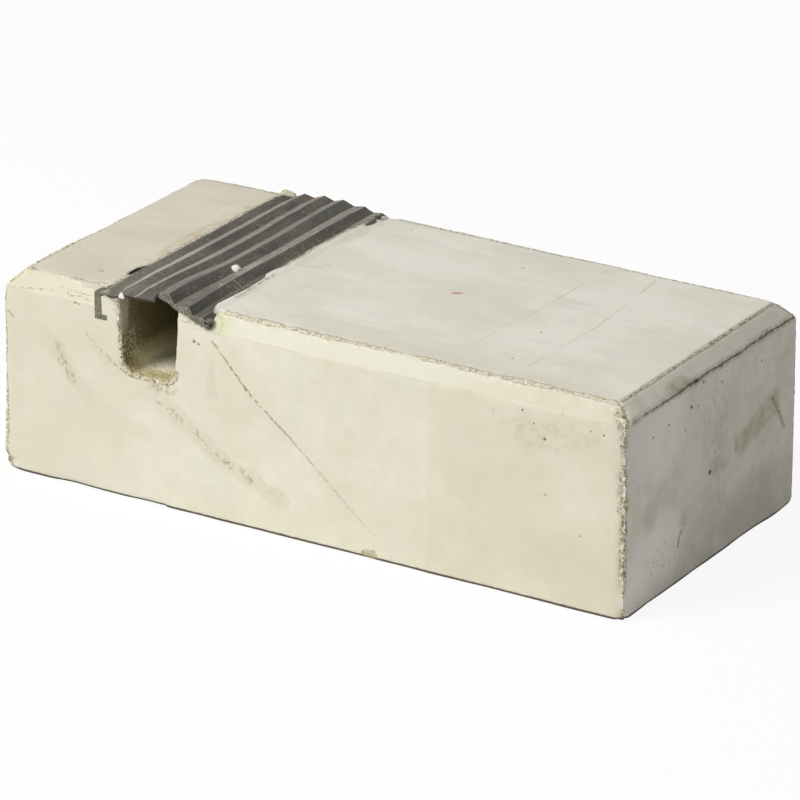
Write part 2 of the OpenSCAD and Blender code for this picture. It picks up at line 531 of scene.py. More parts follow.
# %% Where the cast block strays from the straight
back_reach = {8: 0, 16: 2.0, 32: 2.8, 54: 2.6, 58: 0, 117: 0, 121: 3.0, 153: 3.1, 204: 2.3, 255: 2.0,
              306: 1.6, 323: 0.5}
left_reach = {8: 0.1, 25: 0.7, 45: 0.6, 60: 0, 90: -0.4, 120: -0.7, 150: -0.6}
left_foot = {4: 0.8, 9: 1.8, 18: 1.2, 27: 1.1, 38: 0.4, 55: 0}
points = read_points(block)
x, y, z = points.T.copy()
at_top = ease(z, H - C - 0.5, H - C + 1.5)
points[:, 1] += between(back_reach, x) * at_top * ease(y, W - C - 2.5, W - C - 0.5)
points[:, 1] = np.minimum(points[:, 1], W)
points[:, 0] -= between(left_reach, y) * at_top * (1 - ease(x, C + 0.5, C + 2.5))
points[:, 0] = np.maximum(points[:, 0], 0)
points[:, 0] -= between(left_foot, z) * (1 - ease(x, 0, 12)) * (1 - ease(y, 5, 45))
right_swell = 0.8 * (1 - 0.7 * ease(z, 55, 92)) + 0.9 * hump(y, 142, 22) * (1 - ease(z, 0, 40))
points[:, 0] += right_swell * ease(x, L - 12, L)
write_points(block, points)
print("the base is now", round(float(np.ptp(points[z < 20, 0])), 1), "mm long")

# %% Wear the block and keep the marks
END_SWELL = 2
MOST_TRIANGLES = 195000
normals = read_normals(block)
depth = wear(points)[0]
worn = points - normals * depth[:, None]
worn[:, 2] = np.minimum(worn[:, 2], shoulder_top(worn[:, 0], worn[:, 1]))
worn = np.clip(worn, (-END_SWELL, 0, 0), (L + END_SWELL, W, cad_box[1][2] / MM))
write_points(block, worn)
print("the wear goes", round(float(depth.max()), 1), "mm deep at most")
thin_out(block, MOST_TRIANGLES)
final = read_points(block)
_, sandy, gap_shade = wear(final)
write_mark(block, "sandy", sandy)
write_mark(block, "gap_shade", gap_shade)
choose(block)
bpy.ops.object.shade_smooth_by_angle(angle=math.radians(38))

# %% [markdown]
# ## The cover strip
# The cover is one length of extruded rubber: an arched web with five pointed ribs, and a hooked leg at
# each side. It could be a swept outline, but the construction solid already has the exact outline. So
# a copy of that is cut into short lengths and narrow bands, its rib crests get a small bevel, and its
# points are then moved by the bend that it shares with the concrete.

# %% Cut the strip so that it can bend
def choose_edges(piece, wanted):
    """In edit mode: selects the edges whose middle and direction wanted accepts."""
    mesh = bmesh.from_edit_mesh(piece.data)
    bpy.ops.mesh.select_all(action="DESELECT")
    for edge in mesh.edges:
        ends = [(np.array(vertex.co) - CORNER) / MM for vertex in edge.verts]
        edge.select_set(bool(wanted((ends[0] + ends[1]) / 2, np.abs(ends[1] - ends[0]))))
    bmesh.update_edit_mesh(piece.data)


strip = cad_copy("cover_strip", "ribbed_strip")
bpy.ops.object.mode_set(mode="EDIT")
bpy.ops.mesh.select_all(action="SELECT")
bpy.ops.mesh.dissolve_limited(angle_limit=0.01)
choose_edges(strip, lambda middle, span: span[1] > 100 and middle[2] > underside(middle[0]) + WEB - 0.1)
bpy.ops.mesh.bevel(offset=0.28 * MM, segments=1)
across = np.concatenate([np.arange(STRIP_LEFT + 0.7, STRIP_RIGHT, 1.4), (TEAR - 0.3, TEAR + 0.3, TEAR + 1.1)])
along = np.concatenate([np.arange(-3.4, 10, 0.7), np.arange(12, STRIP_BACK, 2.0)])
for x in across:
    cut_across(x=x)
for y in along:
    cut_across(y=y)
bpy.ops.object.mode_set(mode="OBJECT")
print("strip:", len(strip.data.polygons), "faces")

# %% Shape the strip's front end, then bend it
points = read_points(strip)
x, y, z = points.T
thickness = np.clip(z - underside(x), 0, WEB + RIB_HEIGHT)
rib = np.clip(thickness - WEB, 0, RIB_HEIGHT)
left_part = x < TEAR

# Ribs fade out towards the flat flap at the front left, and are crushed along the right edge.
flap = left_part * (1 - ease(y, -2, 4.5))
sink = left_part * (1 - ease(y, -4, 24))
crushed = ease(x, 109, 112) * np.where(y < 9, 0.45, 0.8) * (1 - ease(y, 128, 142))
points[:, 2] -= rib * np.maximum(sink * 0.95, crushed) + 0.6 * flap * (thickness > 0.1)

# The front end is cut off unevenly: pull is how far back each place of it lies.
end_places = (61, 68, 74, 80, TEAR - 0.1, TEAR + 0.1, 87.2, 89, 120)
end_back = (2.2, 1.8, 1.3, 0.9, 0.7, 4.4, 4.1, 3.6, 3.4)
pull = np.interp(x, end_places, end_back) * (x > 61) + ~left_part * thickness * 0.6
hook_end = np.interp(x, (56, 61), (0.0, 2.2 - OVERHANG))
at_end = y < 0.01 - OVERHANG
points[:, 1] += pull * (1 - ease(y, -OVERHANG, 14 - OVERHANG)) * ease(z, 94.5, 97)
hooked = (x < 61) * (z > 96) * (points[:, 1] <= hook_end)
points[:, 1] = np.where(hooked, hook_end, points[:, 1])
leg_end = (np.abs(y) < 0.01) * (z < 97.2) * (x < 60)

# The finish needs to know what each point was before the strip bent.
write_mark(strip, "cut_end", (at_end * (x > 61) * ~left_part + hooked + leg_end) > 0)
write_mark(strip, "flap", flap * (x > 60))
write_mark(strip, "flap_end", at_end * (x > 60) * left_part)
write_mark(strip, "tear_shade", (np.abs(x - TEAR) < 0.35) * (1 - ease(y, -1, 6)))
write_mark(strip, "across", (x - STRIP_LEFT) / (6 * RIB_PITCH))

# Beside the common bend, the flap hangs down, slants to the left and stands off from the tear.
droop = 2.0 * hump(x, 67, 9.5) + 0.7 * hump(x, 79, 9) + 0.2 * ease(x, 80, TEAR)
droop -= 2.0 * (1 - ease(x, 52, 56.5)) * (z > 96)
slant = 4.6 * ease(x, 57, 69) * (1 - ease(x, 79, 86)) * (1 - ease(y, -6, 17))
points += strip_bend(points)
points[:, 0] -= slant + 0.5 * (x < 54) * (z < 97.2)
points[:, 2] -= droop * left_part * (1 - ease(points[:, 1], -5, 13)) * (z > 96)
points[:, 0] += 2.4 * ease(x, 76, 85) * left_part * (1 - ease(points[:, 1], -4, 0.5))
write_points(strip, points)
choose(strip)
bpy.ops.object.mode_set(mode="EDIT")
bpy.ops.mesh.select_all(action="SELECT")
bpy.ops.mesh.remove_doubles(threshold=0.00001)
bpy.ops.object.mode_set(mode="OBJECT")
bpy.ops.object.shade_smooth_by_angle(angle=math.radians(9))
print("the bent strip is", len(strip.data.vertices), "points")

# %% [markdown]
# ## Finishes
# A finish is a chain of small nodes. Written by hand, that is long and hard to read, so one class wraps a
# socket and lets Python's own signs add the Math nodes. A colour is such a value too, and tints are laid
# over it one after another, as a painter glazes.

# %% A finish written as sums
def screen_colour(tint):
    """A tint as it looks on a screen, from 0 to 255, in Blender's numbers. An Amount stays as it is."""
    if isinstance(tint, Amount):
        return tint
    parts = np.array(tint) / 255
    linear = np.where(parts < 0.04045, parts / 12.92, ((parts + 0.055) / 1.055) ** 2.4)
    return (*map(float, linear), 1.0)


class Amount:
    """One value or colour inside a finish. Signs between amounts add Math nodes."""

    def __init__(self, nodes, socket):
        self.nodes = nodes
        self.socket = socket

    def math(self, operation, first, second=0.0):
        return self.nodes.node("Math", {"operation": operation}, {0: first, 1: second})

    def __add__(self, other):
        return self.math("ADD", self, other)

    def __sub__(self, other):
        return self.math("SUBTRACT", self, other)

    def __mul__(self, other):
        return self.math("MULTIPLY", self, other)

    def __truediv__(self, other):
        return self.math("DIVIDE", self, other)

    def __rsub__(self, other):
        return self.math("SUBTRACT", other, self)

    def size(self):
        return self.math("ABSOLUTE", self)

    def most(self, other):
        return self.math("MAXIMUM", self, other)

    def least(self, other):
        return self.math("MINIMUM", self, other)

    def fraction(self):
        return self.math("FRACT", self)

    def rise(self, start, end):
        """0 before start and 1 past end; from 1 to 0 where start is the larger."""
        settings = {"interpolation_type": "SMOOTHSTEP"}
        return self.nodes.node("MapRange", settings, {"Value": self, "From Min": start, "From Max": end})

    def lay(self, tint, amount):
        """This colour with a tint or another colour laid over it, by an amount from 0 to 1."""
        return self.nodes.blend(self, tint, amount)


# %% The nodes that amounts stand for
class Nodes:
    """The nodes of a material or of a world."""

    def __init__(self, owner):
        owner.use_nodes = True
        self.tree = owner.node_tree
        self.tree.nodes.clear()

    def node(self, kind, settings=None, inputs=None, output=0):
        """Adds a node: its settings first, then the values or links of its sockets."""
        new = self.tree.nodes.new("ShaderNode" + kind)
        for name, setting in (settings or {}).items():
            setattr(new, name, setting)
        for name, given in (inputs or {}).items():
            if isinstance(given, Amount):
                self.tree.links.new(given.socket, new.inputs[name])
            else:
                new.inputs[name].default_value = given
        return Amount(self, new.outputs[output]) if len(new.outputs) else None

    def count(self):
        print("nodes so far:", len(self.tree.nodes))


# %% The marks that a finish is made of
class Finish(Nodes):
    """A material in the making. Its colour is set first, and then tints are laid over it. Its spot, x, y
    and z are millimetres from the block's corner."""

    def __init__(self, name):
        self.material = bpy.data.materials.new(name)
        super().__init__(self.material)
        metre = self.node("TexCoord", output="Object")
        values = {0: metre, 1: (1 / MM,) * 3, 2: tuple(-CORNER / MM)}
        self.spot = self.node("VectorMath", {"operation": "MULTIPLY_ADD"}, values)
        self.x, self.y, self.z = self.split("XYZ", self.spot)

    def split(self, kind, whole):
        """The three parts of a place or of a colour."""
        first = self.node("Separate" + kind, {}, {0: whole})
        return [Amount(self, socket) for socket in first.socket.node.outputs]

    def noise(self, size, detail=2.0, shift=0.0, stretch=(1, 1, 1), roughness=0.5):
        """Smooth noise from 0 to 1, with bumps about size millimetres apart."""
        where = self.node("Mapping", {}, {"Vector": self.spot, "Location": (shift,) * 3, "Scale": stretch})
        values = {"Vector": where, "Scale": 1 / size, "Detail": detail, "Roughness": roughness}
        return self.node("TexNoise", {}, values)

    def mark(self, name):
        """The number that write_mark stored under this name."""
        return self.node("Attribute", {"attribute_name": name}, output="Fac")

    def blend(self, under, over, amount):
        """Lays one colour over another by an amount from 0 to 1."""
        values = {0: amount, 6: screen_colour(under), 7: screen_colour(over)}
        return self.node("Mix", {"data_type": "RGBA"}, values, output=2)

    def lay(self, tint, amount):
        """Lays a tint or another colour over the finish's own colour, by an amount from 0 to 1."""
        self.colour = self.colour.lay(tint, amount)

    def spots(self, spacing, radius, share, shift=0.0):
        """Round dots: one in each cell of about spacing millimetres, in this share of the cells."""
        where = self.node("Mapping", {}, {"Vector": self.spot, "Location": (shift,) * 3})
        values = {"Vector": where, "Scale": 1 / spacing}
        distance = self.node("TexVoronoi", {}, values, output="Distance")
        colour = self.node("TexVoronoi", {}, values, output="Color")
        chance, size, _ = self.split("Color", colour)
        reach = (size * 0.7 + 0.3) * (radius / spacing)
        inside = (distance / reach).rise(1.25, 0.75)
        return inside * chance.rise(share + 0.001, share)

    def dot(self, place, radius):
        """1 within radius of a place, for a hole or a speck."""
        values = {0: self.spot, 1: place}
        distance = self.node("VectorMath", {"operation": "DISTANCE"}, values, output="Value")
        return distance.rise(radius * 1.25, radius * 0.7)

    def patch(self, u, v, middle, half, turn=0.0):
        """A soft oval on the plane of u and v: 1 in the middle and 0 at its rim."""
        turn = math.radians(turn)
        right = u - middle[0]
        up = v - middle[1]
        long_way = (right * math.cos(turn) + up * math.sin(turn)) / half[0]
        short_way = (up * math.cos(turn) - right * math.sin(turn)) / half[1]
        return (long_way * long_way + short_way * short_way).rise(1.0, 0.0)

    def line(self, u, v, start, end, half):
        """A straight mark from start to end: 1 on the line and 0 at half away from it."""
        run = (end[0] - start[0], end[1] - start[1])
        length = math.hypot(*run)
        right = u - start[0]
        up = v - start[1]
        part = ((right * run[0] + up * run[1]) / length ** 2).most(0.0).least(1.0)
        off_u = right - part * run[0]
        off_v = up - part * run[1]
        return (off_u * off_u + off_v * off_v).rise(half * half, 0.0)

    def path(self, u, v, places, half):
        """Straight marks from each place to the next."""
        marks = [self.line(u, v, start, end, half) for start, end in zip(places, places[1:])]
        whole = marks[0]
        for mark in marks[1:]:
            whole = whole.most(mark)
        return whole

    def shine(self, roughness, height, bump_depth=1.0, specular=0.5):
        """Ends the finish in its shader. A height of 1 stands bump_depth millimetres out."""
        normal = self.node("Bump", {}, {"Height": height, "Distance": bump_depth * MM})
        values = {"Base Color": self.colour, "Roughness": roughness, "Normal": normal}
        values["Specular IOR Level"] = specular
        shader = self.node("BsdfPrincipled", {}, values)
        self.node("OutputMaterial", {}, {"Surface": shader})
        print("finished:", self.material.name)
        self.count()
        return self.material


# %% [markdown]
# ## The concrete's finish
# The block is pale precast concrete with a smooth cast skin. Its tone drifts from cream to grey in soft
# clouds, each face has a tone of its own, and it is stained, scuffed and scratched in places. A flat
# picture could hold all that, but nodes stay sharp at any distance. So each mark is an amount, made of
# noise, soft ovals and short paths in millimetres, by which a tint is laid over the colour so far.

# %% The concrete's finish: its skin
concrete = Finish("cast_concrete")
x, y, z = concrete.x, concrete.y, concrete.z
lay, noise, patch, path, line = concrete.lay, concrete.noise, concrete.patch, concrete.path, concrete.line
on_front = y.rise(1.7, 1.0)
on_top = z.rise(98.9, 99.4)
on_end = x.rise(BLOCK_L - 1.7, BLOCK_L - 1.0)
cloud = noise(48, 5, 1.0, roughness=0.6).rise(0.36, 0.64)
haze = noise(15, 5, 8.0, roughness=0.65).rise(0.35, 0.68)
cool = noise(26, 4, 14.0, roughness=0.6).rise(0.45, 0.7)
mottle = noise(5, 5, 17.0, roughness=0.7).rise(0.4, 0.75)
concrete.colour = concrete.blend((224, 218, 197), (232, 227, 209), cloud)
lay((214, 207, 184), haze * 0.28)
lay((219, 219, 204), cool * 0.4)
lay((210, 202, 176), mottle * 0.16)
top_tone = noise(34, 5, 4.0, stretch=(0.55, 1, 1), roughness=0.6).rise(0.35, 0.65)
top_colour = concrete.blend((231, 227, 215), (221, 217, 203), top_tone)
left_colour = concrete.blend((219, 212, 194), (210, 203, 184), top_tone)
top_colour = top_colour.lay(left_colour, x.rise(70, 60))
drawn_out = noise(9, 5, 6.0, stretch=(0.4, 1, 1)).rise(0.5, 0.75)
top_colour = top_colour.lay((206, 203, 192), drawn_out * 0.35)
lay(top_colour, on_top)
end_tone = noise(17, 6, 2.0, roughness=0.7)
end_colour = concrete.blend((223, 216, 205), (209, 204, 190), end_tone.rise(0.36, 0.64))
end_mottle = mottle * noise(11, 4, 9.0).rise(0.42, 0.62)
end_colour = end_colour.lay((192, 187, 173), end_mottle * 0.55)
end_colour = end_colour.lay((238, 232, 222), patch(y, z, (30, 80), (34, 26)) * 0.5)
end_colour = end_colour.lay((244, 239, 229), patch(y, z, (28, 20), (34, 26)) * 0.6)
lay(end_colour, on_end)
chamfer_face = (z - y - (BLOCK_H - CHAMFER)).size().rise(1.1, 0.7) * y.rise(0.8, 1.4) * y.rise(8.2, 7.4)
chamfer_colour = concrete.blend((215, 208, 183), (224, 221, 203), x.rise(20, 90))
chamfer_colour = chamfer_colour.lay((216, 209, 184), x.rise(220, 290) * haze.rise(-0.5, 0.8))
lay(chamfer_colour, chamfer_face * 0.7)
concrete.count()

# %% Stains, scuffs and scratches
ragged = noise(2.2, 4, 5.0, roughness=0.7)
flecks = ragged.rise(0.42, 0.66)
shake = noise(9, 3, 6.0) * 5 - 2.5
u = x + shake
v = z + shake
left_shade = x.rise(100, 20) * 0.35
lay((209, 202, 180), left_shade * on_front)
yellow = x.rise(229.7, 230.7) * 0.36 + patch(u, v, (300, 22), (38, 20)) * 0.4
lay((213, 204, 172), yellow * on_front * 0.5)
jitter = noise(2.4, 3, 19.0) * 1.6 - 0.8
first_soft = path(u, v, [(25, 70), (32, 65), (38, 54), (46, 46)], 6)
first_soft = first_soft.most(path(u, v, [(46, 46), (60, 39), (80, 34)], 5) * 0.55)
long_soft = path(u, v, [(50, 75), (61, 66), (68, 61), (84, 54), (99, 45), (124, 29), (152, 18)], 6)
soft = first_soft.most(long_soft)
lay((200, 187, 155), soft * on_front * (flecks * 0.3 + 0.22) * cloud.rise(-0.5, 1.0))
rough_x = x + jitter
rough_z = z + jitter
ochre = path(rough_x, rough_z, [(31, 68), (34, 60.5), (38, 53)], 2.8)
ochre = ochre.most(patch(rough_x, rough_z, (30, 62), (7, 5)) * 0.5)
lay((166, 145, 100), ochre * on_front * (flecks * 0.7 + 0.12))
strokes = path(rough_x, z, [(46.5, 77), (54, 71), (61, 66), (69, 61.5)], 1.1)
strokes = strokes.most(path(x, rough_z, [(105, 42), (113.5, 35), (123, 29.5)], 0.7))
strokes = strokes.most(path(rough_x, z, [(85, 52.5), (92, 48.5), (99, 45)], 1.3) * 0.8)
rubbed = {(95, 47): (6, 2.6), (106, 41.5): (3, 2.2), (124, 29): (4.5, 2.4), (134, 25): (6, 2.8)}
for middle, half in rubbed.items():
    strokes = strokes.most(patch(rough_x, rough_z, middle, half, -40))
lay((150, 132, 96), strokes * flecks * on_front * 0.7)
spill = patch(u, v, (88, 59.5), (10, 5))
lay((170, 154, 116), spill * on_front * ragged.rise(0.35, 0.6) * 0.75)
smudge = patch(u + shake, v, (116, 68), (3, 15))
smudge = smudge.most(patch(u + shake, v - shake, (283, 80), (17, 12)))
smudge = smudge.most(patch(u, v - shake, (170, 74), (14, 8)) * 0.4)
lay((190, 182, 152), smudge * on_front * (mottle * 0.25 + 0.14))
scratch = path(x + shake * 0.2 + jitter * 1.4, z + jitter * 0.4, front_scratch, 0.8)
scratch = scratch * noise(2.4, 4, 2.0).rise(0.36, 0.56) * (z.rise(12, 70) * 0.75 + 0.25)
lay((132, 116, 80), scratch * on_front * 0.72)
fracture = [(2, 91.6), (16, 92.7), (27, 93.9), (32, 96), (36, 93.4), (42, 93.9), (49, 93.1)]
fracture = path(x, z + jitter * 0.8, fracture, 0.4)
fracture = fracture.most(path(x, z + jitter, [(30, 96), (36, 95.3), (47, 95)], 0.3))
lay((140, 127, 92), fracture * y.rise(7, 6) * ragged.rise(0.46, 0.58) * 0.55)
nicks = line(x, z, (2.5, 79.5), (5.5, 77), 0.5)
nicks = nicks.most(line(x, z, (264, 87), (264.6, 85), 0.35) * 0.6)
lay((120, 110, 84), nicks * y.rise(7, 6) * 0.6)
seam = (z - (BLOCK_H - CHAMFER) - shake * 0.1).size().rise(0.7, 0.1) * on_front
seam = seam * noise(34, 3, 9.0).rise(0.42, 0.6)
lay((176, 168, 142), seam * 0.25)
grubby = patch(u, v - shake, (296, 82), (32, 12)) * mottle * on_front
lay((196, 188, 154), grubby * 0.5)
chips = (x + ragged * 5).rise(BLOCK_L + 0.4, BLOCK_L + 1.6) * on_front * (z + shake * 3).rise(38, 62)
lay((240, 233, 212), chips * 0.85)
lay((176, 160, 122), chips * flecks * 0.5)
hidden = y.rise(BLOCK_W - 1.7, BLOCK_W - 1.0).most(x.rise(1.7, 1.0))
lay((190, 181, 152), hidden * haze * cool * 0.6)
concrete.count()

# %% Marks on the top
u = x + shake
v = y + shake
streaks = noise(4, 5, 12.0, stretch=(1, 0.45, 1), roughness=0.72)
smear = patch(u, v, (53, 88), (7, 62)).rise(0.0, 0.7)
lay((184, 167, 132), smear * on_top * (streaks.rise(0.4, 0.66) * 0.55 + 0.08))
lay((240, 233, 213), smear * on_top * streaks.rise(0.46, 0.34) * ragged.rise(0.5, 0.64) * 0.9)
warm_edge = (y + shake * 1.5).rise(26, 8) * x.rise(120, 200) * on_top
lay((214, 207, 184), warm_edge * (mottle * 0.5 + 0.35))
grey = patch(u, v, (114, 128), (8, 26)).most(patch(u, v, (142, 60), (34, 15), 20) * 0.5)
lay((190, 185, 166), grey * on_top * (mottle * 0.4 + 0.2))
bead_places = [(113.6, 24), (114.2, 31), (113.2, 38), (112.8, 45), (112.8, 58)]
bead_line = path(x + jitter * 1.4, y, bead_places, 1.3)
ridge_places = [(110, 69), (113, 74), (116, 74.8), (120, 76.5), (124, 78.5), (126, 84)]
ridge = path(x + jitter, y + jitter * 2, ridge_places, 1.0)
ridge = bead_line.most(ridge * 0.45) * ragged.rise(0.3, 0.5)
lay((150, 142, 118), ridge * z.rise(98.5, 99.5) * ragged.rise(0.35, 0.65) * 0.75)
moss = patch(x, y + shake, (119, 3), (8, 7)) * z.rise(90, 94)
lay((214, 214, 168), moss * 0.6)
trowel = path(x + shake * 0.2, y, [(233, 32), (237, 78), (238, 146)], 0.9)
trowel = trowel.most(path(x + shake * 0.2, y, [(268, 25), (270, 84), (264, 147)], 1.0))
trowel = trowel.most(line(x, y, (275, 94), (296, 106), 0.7))
lay((182, 177, 158), trowel * on_top * noise(20, 3, 3.0).rise(0.35, 0.65) * 0.36)
fleck = patch(x, y, (194.8, 84.4), (3.4, 1.3), 35)
lay((192, 142, 92), fleck.rise(0.1, 0.5) * on_top)
concrete.count()

# %% Marks on the right end
u = y + shake
v = z + shake
olive = path(u, v, [(106, 49), (122, 52), (138, 57)], 8)
olive = olive.most(patch(u, v, (88, 62), (8, 20)) * 0.5)
olive = olive.most(patch(u, v, (84, 44), (12, 9)) * 0.8)
lay((160, 147, 110), olive * on_end * (mottle * 0.5 + 0.3))
cobweb = patch(u, v, (84, 62), (20, 30))
cobweb = cobweb * noise(3.4, 6, 5.0, roughness=0.75).rise(0.5, 0.66) * 0.42
lay((144, 134, 108), cobweb * on_end)
grey = patch(u, v, (22, 41), (9, 9)).most(patch(u, v, (118, 18), (48, 15)) * 0.8)
lay((176, 173, 163), grey * on_end * 0.42)
bloom = patch(u, v, (34, 15), (22, 12), 20)
lay((240, 237, 230), bloom * ragged.rise(0.5, 0.62) * on_end * 0.75)
dirt = patch(u, v, (34, 18), (26, 14))
lay((140, 130, 108), dirt * ragged.rise(0.46, 0.34) * on_end * 0.5)
brown = path(y + jitter * 0.6, z, [(49, 18.5), (49.6, 21), (51.5, 24.5)], 1.0)
brown = brown * ragged.rise(0.2, 0.5)
brown = brown.most(patch(y + jitter, z, (53, 28), (3.4, 7), -20) * (flecks * 0.5 + 0.15))
lay((138, 116, 80), brown * on_end * 0.75)
gouge = path(y + jitter * 1.5, z, [(136, 60), (142, 53), (149, 41)], 1.7) * ragged.rise(0.3, 0.6)
lay((118, 104, 76), gouge * on_end * 0.65)
on_right_chamfer = (x + z - (BLOCK_L + BLOCK_H - CHAMFER)).size().rise(1.1, 0.7)
on_right_chamfer = on_right_chamfer * x.rise(BLOCK_L - 8.6, BLOCK_L - 7.6)
chamfer_colour = concrete.blend((233, 230, 216), (222, 219, 205), (y + shake * 2).rise(20, 120))
chamfer_colour = chamfer_colour.lay((186, 184, 168), mottle * haze * 0.5)
lay(chamfer_colour, on_right_chamfer * y.rise(6, 9) * 0.75)
olive = patch(y + shake, z, (50, 94.2), (14, 3.4))
lay((150, 142, 104), olive * on_right_chamfer * (mottle * 0.4 + 0.35))
concrete.count()

# %% The crack under the right chamfer
swell = (y - 62).size().rise(11, 0) * 0.6 + (y - 90).size().rise(9, 0) * 0.35
swell = swell + (y - 129).size().rise(14, 0) * 0.45
wander = crack_wander(y, lambda part: part.math("SINE", part))
off_crack = (z - (BLOCK_H - CHAMFER + 0.3) - wander + jitter * 0.4).size()
at_crack = x.rise(BLOCK_L - 3, BLOCK_L - 2) * y.rise(4, 8)
stain = (off_crack - swell).rise(2.4, 0.0) * at_crack * ragged.rise(0.3, 0.6)
lay((140, 128, 98), stain * 0.6)
# The crack's dark core is painted shade in the fissure, laid over the stain.
crack_shade = (off_crack - swell * ragged).rise(0.5, 0.1) * at_crack * (y + shake * 2).rise(-20, 50)
lay((70, 60, 42), crack_shade * (flecks * 0.35 + 0.6))
concrete.count()

# %% Broken sand, the raw trough with painted light and shade, and a painted shadow along the base
sand = concrete.mark("sandy")
grit = concrete.node("TexVoronoi", {}, {"Vector": concrete.spot, "Scale": 1 / 1.05}, output="Color")
stone_tone = concrete.split("Color", grit)[0]
grain = noise(1.2, 3, 7.0)
sand_colour = concrete.blend((134, 119, 88), (205, 195, 164), stone_tone.rise(0.12, 0.38))
sand_colour = sand_colour.lay((238, 232, 211), stone_tone.rise(0.5, 0.8))
front_arris = y.rise(12, 10) * z.rise(95, 97)
sand_colour = sand_colour.lay((222, 214, 190), front_arris * 0.45)
end_sand = concrete.blend((124, 112, 86), (204, 196, 172), stone_tone.rise(0.15, 0.6))
sand_colour = sand_colour.lay(end_sand, x.rise(BLOCK_L - 12, BLOCK_L - 9) * z.rise(98, 99) * y.rise(12, 20))
uneven = shake * front_arris * 0.25
broken = (sand + (grain - 0.5) * 0.7 + uneven).rise(0.4, 0.58)
spill_over = (sand + (ragged - 0.5) * 1.6 + uneven).rise(0.1, 0.4) * front_arris * z.rise(99.3, 98.6)
lay((238, 232, 212), spill_over * 0.7)
lay(sand_colour, broken * 0.9)
shadow_line = (sand + (grain - 0.5) * 0.5 - 0.34).size().rise(0.12, 0.02) * z.rise(97, 99)
lay((150, 140, 112), shadow_line * (1 - front_arris * 0.75) * 0.55)
inside = (x - TROUGH_MIDDLE).size().rise(19, 18) * z.rise(TROUGH_FLOOR - 2.5, TROUGH_FLOOR - 1.5)
inside = inside * y.rise(0.6, 1.4)
speckle = grain * 0.5 + stone_tone * 0.5
# The trough's wall: the raw concrete's own speckle, a painted lit band near the mouth, and painted shade
# beyond it and deeper in.
smooth_wall = (z + shake * 0.6).rise(78, 86)
wall_colour_lit_and_shaded = concrete.blend((128, 114, 88), (184, 170, 140), speckle.rise(0.3, 0.7))
lit = smooth_wall * (y - (z - 78) * 0.2).rise(6.5, 3.5)
wall_colour_lit_and_shaded = wall_colour_lit_and_shaded.lay((190, 178, 154), lit * 0.9)
wall_colour_lit_and_shaded = wall_colour_lit_and_shaded.lay((208, 196, 172), lit * z.rise(84, 90) * z.rise(97, 92) * 0.7)
wall_colour_lit_and_shaded = wall_colour_lit_and_shaded.lay((134, 120, 90), smooth_wall * (1 - lit) * y.rise(3.5, 8) * 0.75)
wall_colour_lit_and_shaded = wall_colour_lit_and_shaded.lay((118, 108, 74), y.rise(7, 22) * 0.85)
# The trough's floor and the foot of its wall further in get painted light.
bed_colour_and_light = concrete.blend((176, 163, 118), (214, 204, 162), speckle.rise(0.25, 0.7))
bed_colour_and_light = bed_colour_and_light.lay((255, 250, 220), y.rise(7, 16))
lit_wall_foot = z.rise(TROUGH_FLOOR + 12, TROUGH_FLOOR + 3) * y.rise(4, 12)
wall_colour_lit_and_shaded = wall_colour_lit_and_shaded.lay((240, 230, 186), lit_wall_foot * 0.9)
raw_colour_lit_and_shaded = concrete.blend(wall_colour_lit_and_shaded, bed_colour_and_light, z.rise(TROUGH_FLOOR + 5, TROUGH_FLOOR + 1.5))
lay(raw_colour_lit_and_shaded, inside * z.rise(99.5, 98.5))
# Painted shade in the slots beside the strip and in the hollow at its back right corner.
lay((80, 68, 48), concrete.mark("gap_shade").rise(0.3, 0.75) * 0.92)
slot_shade = patch(x - y * 0.05 + ragged * 1.4, y, (53.7, 29.8), (1.7, 8.0)).rise(0.1, 0.4)
slot_shade = slot_shade.most(patch(x + ragged, y, (114.2, 147), (1.8, 2.0)).rise(0.1, 0.4))
lay((48, 42, 30), slot_shade * z.rise(96, 98) * 0.9)
# A painted shadow along the base, standing for the contact shadow where the block meets the floor.
base_shadow = (z - ragged * 0.9 - on_end * 0.3).rise(1.1, 0.5)
lay((62, 58, 46), base_shadow * 0.92)
chip = patch(x + jitter * 3, z + jitter * 1.2, (200, 2), (5, 3)).rise(0.1, 0.4) * on_front
lay((166, 156, 114), chip * (flecks * 0.4 + 0.5))
concrete.count()

# %% Air holes, darkened with painted shade
holes = concrete.spots(11, 0.5, 0.14).most(concrete.spots(6, 0.42, 0.14, 3.3) * on_end)
holes = holes.most(concrete.spots(3.6, 0.3, 0.34, 7.1) * y.rise(3, 2) * x.rise(240, 285) * z.rise(72, 88))
small_holes = holes
for *place, radius in air_holes:
    holes = holes.most(concrete.dot(place, radius))
# The holes are painted dark, as the shade inside them.
lay((62, 53, 40), holes * 0.88)
relief = noise(1.3, 4, 3.0) * (broken * 0.5 + 0.06) + stone_tone * broken * 0.3
relief = relief + noise(12, 3, 3.0) * 0.35 - small_holes * 0.5
roughness = 0.9 - noise(20, 3, 5.0) * 0.15
concrete_finish = concrete.shine(roughness, relief, specular=0.25)
block.data.materials.append(concrete_finish)

# %% [markdown]
# ## The strip's finish
# The strip is near-black rubber, grey with dust and specks of cement. Dust lies thick on the ribs' left
# flanks and thin on their right flanks, and light is painted in too: the left flanks get a lit copy of
# the colour and the right flanks a shaded one, and both together make the stripes. A stripe painted by
# place would slide off the bent ribs, so each point carries the mark "across", its share of the strip's
# width before it bent.

